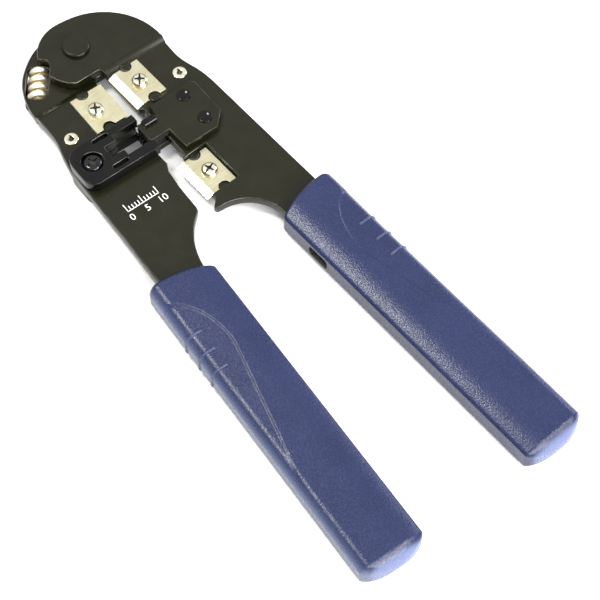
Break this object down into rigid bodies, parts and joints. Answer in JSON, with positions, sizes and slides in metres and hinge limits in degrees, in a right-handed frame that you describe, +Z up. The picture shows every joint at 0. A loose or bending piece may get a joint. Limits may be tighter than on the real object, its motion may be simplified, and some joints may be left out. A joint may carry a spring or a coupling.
{
  "type": "modular plug crimping tool",
  "caption": "Hand crimping tool for small modular plugs: lapped steel arms on a rivet, plug nest, plunger, strip blades, cutter, return spring and moulded grips.",
  "frame": {"origin": "centre of the pivot rivet's flat underside, which is level with the underside of both grips and of the lower nest half, so the tool lies on z = 0", "axes": "+Z up out of the flat-lying tool along the pivot's axis, +Y from the handles towards the head, +X from the die arm (left) towards the plunger arm (right)"},
  "size_m": [0.0712, 0.188, 0.0099],
  "materials": {
    "black_steel": "semi-gloss black oxide and lacquer on pressed steel",
    "bright_steel": "bright hardened steel, finely ground",
    "spring_zinc": "yellow zinc plated spring wire",
    "grip_plastic": "fine-textured dark blue moulded plastic"
  },
  "bodies": {
    "die_arm": {"die_arm_plate": "black_steel", "die_arm_grip": "grip_plastic", "fixed_strip_blade": "bright_steel", "fixed_strip_blade_screw": "bright_steel", "plug_nest_upper": "black_steel", "plug_nest_lower": "black_steel", "plug_nest_screw": "black_steel", "die_arm_pin": "bright_steel", "pivot_rivet": "black_steel", "return_spring": "spring_zinc"},
    "plunger_arm": {"plunger_arm_plate": "black_steel", "plunger_arm_grip": "grip_plastic", "moving_strip_blade": "bright_steel", "moving_strip_blade_screw": "bright_steel", "cutter_blade": "bright_steel", "cutter_blade_screw": "bright_steel", "plunger_plate_upper": "black_steel", "plunger_plate_lower": "black_steel", "contact_driver": "black_steel", "strain_relief_bar": "black_steel", "plunger_rivet_1": "black_steel", "plunger_rivet_2": "black_steel", "plunger_arm_pin": "bright_steel"}
  },
  "joints": [
    {"name": "handle_pivot", "type": "hinge", "parent": "die_arm", "child": "plunger_arm", "pos_m": [0, 0, 0.0047], "axis": [0, 0, -1], "range_deg": [0, 4.8], "stiffness_Nm_per_rad": 6, "springref_deg": -2.86, "deforming": ["return_spring"]}
  ]
}
